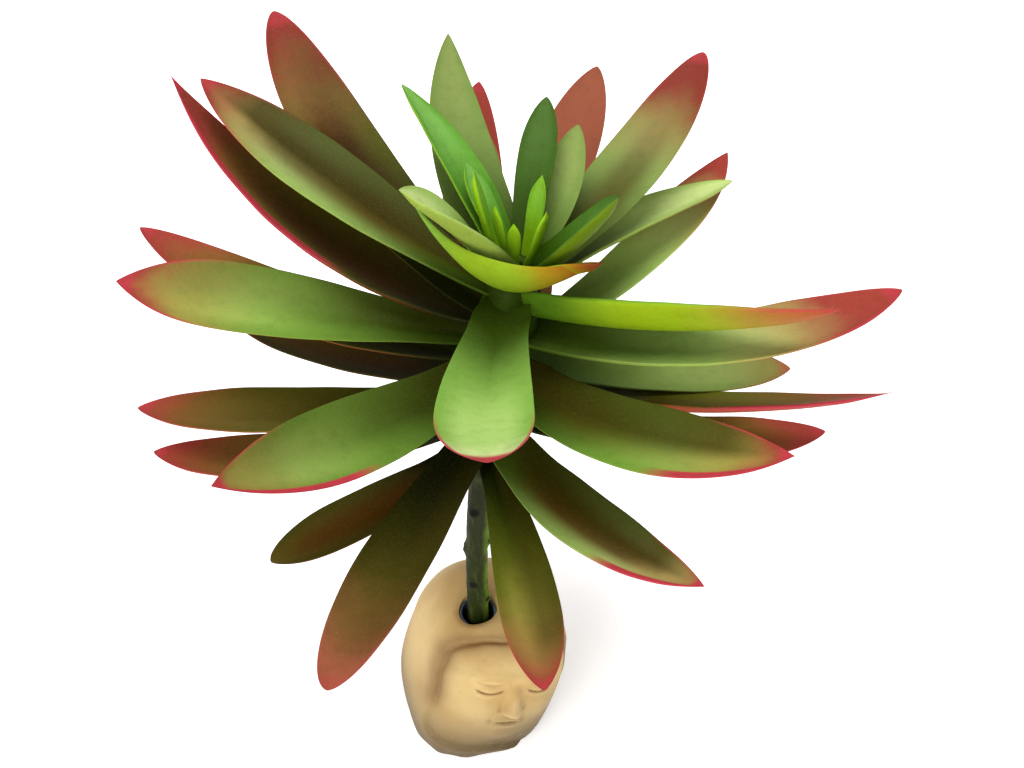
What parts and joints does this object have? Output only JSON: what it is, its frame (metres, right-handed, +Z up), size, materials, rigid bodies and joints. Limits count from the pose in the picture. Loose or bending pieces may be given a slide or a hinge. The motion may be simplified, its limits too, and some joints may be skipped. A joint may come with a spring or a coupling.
{
  "type": "potted succulent",
  "caption": "Strap-leaved succulent rosette on a bare upright stem, rooted in a small clay planter shaped as a leaning head with closed eyes.",
  "frame": {"origin": "centre of the planter's flat underside, on the surface it stands on", "axes": "+Z up, -Y towards the front, the side the planter's face looks out of, +X to the right as seen from the front"},
  "size_m": [0.2461, 0.1945, 0.2627],
  "materials": {
    "matte_clay": "matte, slightly satin",
    "dark_glaze": "glossy",
    "potting_soil": "rough",
    "stem_skin": "satin with scars",
    "leaf_dark": "matte, powdery",
    "leaf_green": "matte, powdery",
    "leaf_young": "satin",
    "leaf_lime": "satin"
  },
  "bodies": {
    "root": {"head_planter": "matte_clay", "socket_sleeve": "dark_glaze", "potting_fill": "potting_soil", "stem": "stem_skin", "lower_leaf_left_front": "leaf_dark", "lower_leaf_front": "leaf_dark", "lower_leaf_front_left": "leaf_dark", "lower_leaf_right_front": "leaf_dark", "lower_leaf_left": "leaf_dark", "lower_leaf_right": "leaf_dark", "lower_leaf_back": "leaf_dark", "lower_leaf_back_left": "leaf_dark", "lower_leaf_left_back": "leaf_dark", "lower_leaf_back_right": "leaf_dark", "lower_leaf_right_long": "leaf_dark", "lower_leaf_left_short": "leaf_dark", "middle_leaf_right_back": "leaf_green", "middle_leaf_front_left": "leaf_green", "middle_leaf_front_right": "leaf_green", "middle_leaf_back_right": "leaf_green", "middle_leaf_left_low": "leaf_green", "middle_leaf_back_left": "leaf_green", "middle_leaf_back": "leaf_green", "middle_leaf_back_tall": "leaf_green", "middle_leaf_left_high": "leaf_green", "middle_leaf_right": "leaf_green", "upper_leaf_left": "leaf_green", "upper_leaf_right_back": "leaf_green", "upper_leaf_back_short": "leaf_green", "upper_leaf_front": "leaf_green", "upper_leaf_right": "leaf_green", "upper_leaf_left_back": "leaf_green", "upper_leaf_back": "leaf_green", "upper_leaf_right_thin": "leaf_green", "crown_leaf_front_right": "leaf_young", "crown_leaf_front_left": "leaf_young", "crown_leaf_back_left": "leaf_young", "crown_leaf_left": "leaf_lime", "crown_leaf_back_right": "leaf_young", "crown_leaf_right": "leaf_young", "crown_leaf_back": "leaf_young", "crown_leaf_left_small": "leaf_young", "bud_leaf_back": "leaf_lime", "bud_leaf_right": "leaf_lime", "bud_leaf_front": "leaf_lime", "bud_leaf_left": "leaf_lime"}
  },
  "joints": []
}
